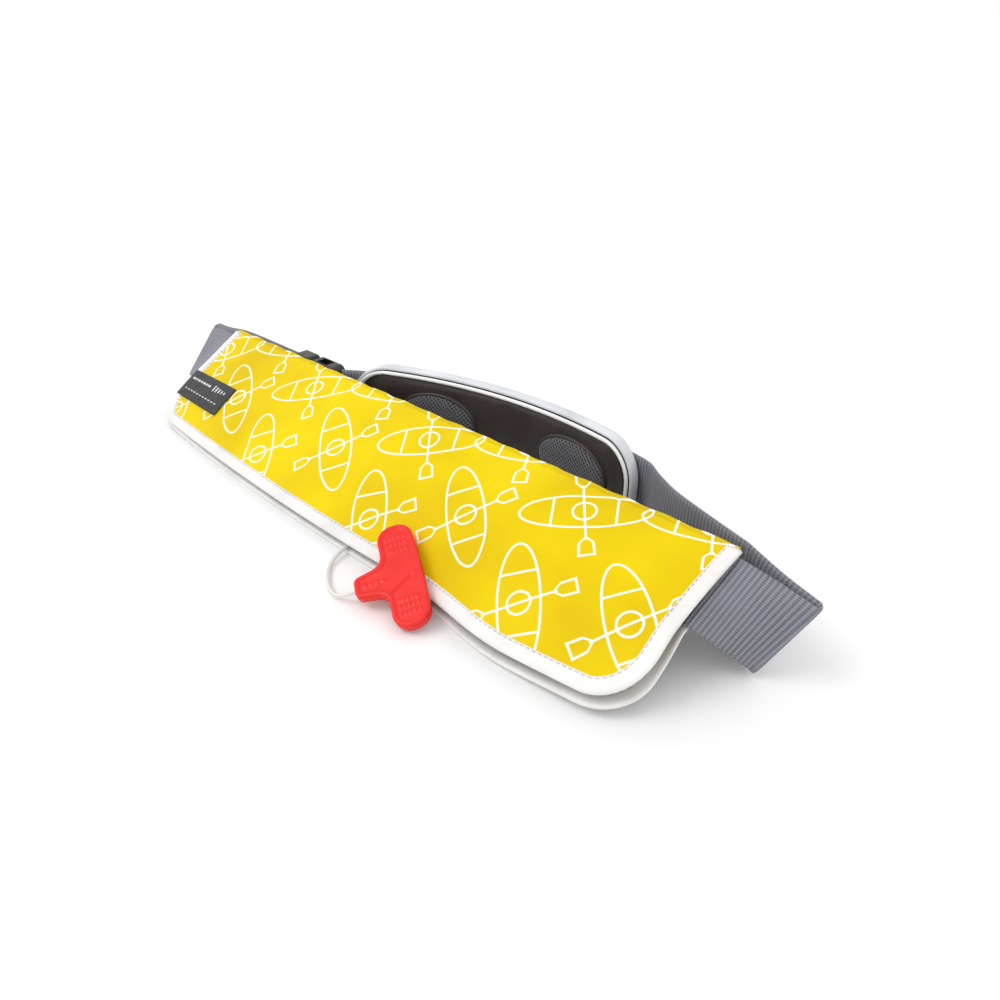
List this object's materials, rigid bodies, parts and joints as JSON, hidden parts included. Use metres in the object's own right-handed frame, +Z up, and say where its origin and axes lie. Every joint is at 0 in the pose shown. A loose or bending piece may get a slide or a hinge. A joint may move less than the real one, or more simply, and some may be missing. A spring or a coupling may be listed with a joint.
{
  "type": "life jacket",
  "caption": "Inflatable belt-pack life jacket: printed pouch with a flap, folded bladder and gas inflator, red T-handle on a pull cord, webbing belt, side-release buckle and lumbar pad.",
  "frame": {"origin": "centre of the bounding box without the pull cord and handle, on the surface that the pack lies on", "axes": "+X along the pouch and its fold line, -Y towards the flap's lip and the T-handle, +Z up from the surface"},
  "size_m": [0.5494, 0.1882, 0.0616],
  "materials": {
    "print_fabric": "woven, printed",
    "binding_tape": "woven tape",
    "shell_fabric": "coated woven",
    "fastener_tape": "hook and loop pile",
    "label_rubber": "moulded, matte",
    "bladder_fabric": "coated, semi-gloss",
    "inflator_plastic": "moulded",
    "lever_plastic": "moulded",
    "pin_steel": "satin",
    "indicator_plastic": "gloss",
    "cylinder_steel": "zinc, satin",
    "tube_plastic": "satin",
    "webbing": "ribbed webbing",
    "elastic": "ribbed elastic",
    "buckle_plastic": "moulded, satin",
    "pad_foam": "foam",
    "pad_fabric": "woven",
    "pad_shell_fabric": "soft knit",
    "piping_white": "cord piping",
    "mesh_fabric": "spacer mesh",
    "handle_plastic": "moulded, satin",
    "cord_white": "braided"
  },
  "bodies": {
    "pack": {"back_panel": "shell_fabric", "back_binding": "binding_tape", "loop_strip": "fastener_tape", "belt_sleeve": "shell_fabric", "bladder_left": "bladder_fabric", "bladder_right": "bladder_fabric", "inflator_body": "inflator_plastic", "lever_pin": "pin_steel", "seal_indicator": "indicator_plastic", "co2_cylinder": "cylinder_steel", "oral_tube": "tube_plastic", "oral_flange": "tube_plastic", "oral_cap": "tube_plastic", "belt_front_run": "webbing", "belt_right_bend": "webbing", "belt_pad_run": "webbing", "belt_left_bend": "webbing", "pad_core": "pad_foam", "pad_front_cover": "pad_fabric", "pad_back_cover": "pad_shell_fabric", "pad_piping": "piping_white", "mesh_pad_left": "mesh_fabric", "mesh_pad_right": "mesh_fabric", "pad_keeper_left": "webbing", "pad_keeper_right": "webbing", "buckle_housing": "buckle_plastic", "belt_tail": "webbing", "slider": "buckle_plastic", "elastic_keeper": "elastic"},
    "flap": {"front_panel": "print_fabric", "front_binding": "binding_tape", "hook_strip": "fastener_tape", "label_patch": "label_rubber"},
    "lever": {"inflation_lever": "lever_plastic"},
    "pull_handle": {"t_handle": "handle_plastic", "pull_cord": "cord_white"},
    "plug": {"buckle_plug": "buckle_plastic", "belt_left_return": "webbing"},
    "prong_a": {"prong_upper": "buckle_plastic"},
    "prong_b": {"prong_lower": "buckle_plastic"}
  },
  "joints": [
    {"name": "flap_open", "type": "hinge", "parent": "pack", "child": "flap", "pos_m": [0, 0.01973, 0.054], "axis": [-1, 0, 0], "range_deg": [0, 130], "deforming": ["t_handle", "pull_cord"]},
    {"name": "handle_pull", "type": "slide", "parent": "pack", "child": "pull_handle", "axis": [0, -1, 0], "range_m": [0, 0.0222]},
    {"name": "lever_pivot", "type": "hinge", "parent": "pack", "child": "lever", "pos_m": [0.0013, -0.04727, 0.0048], "axis": [0, 0, -1], "range_deg": [0, 65]},
    {"name": "buckle_release", "type": "slide", "parent": "pack", "child": "plug", "axis": [-1, 0, 0], "range_m": [0, 0.028], "deforming": ["belt_left_bend"]},
    {"name": "prong_upper_flex", "type": "hinge", "parent": "plug", "child": "prong_a", "pos_m": [-0.1482, 0.02823, 0.0443], "axis": [0, 1, 0], "range_deg": [0, 5], "stiffness_Nm_per_rad": 0.5},
    {"name": "prong_lower_flex", "type": "hinge", "parent": "plug", "child": "prong_b", "pos_m": [-0.1482, 0.02823, 0.0102], "axis": [0, -1, 0], "range_deg": [0, 5], "stiffness_Nm_per_rad": 0.5}
  ],
  "couplings": [
    {"joint": "lever_pivot", "follows": "handle_pull", "rad_per_m": 51},
    {"joint": "prong_lower_flex", "follows": "prong_upper_flex", "ratio": 1}
  ]
}
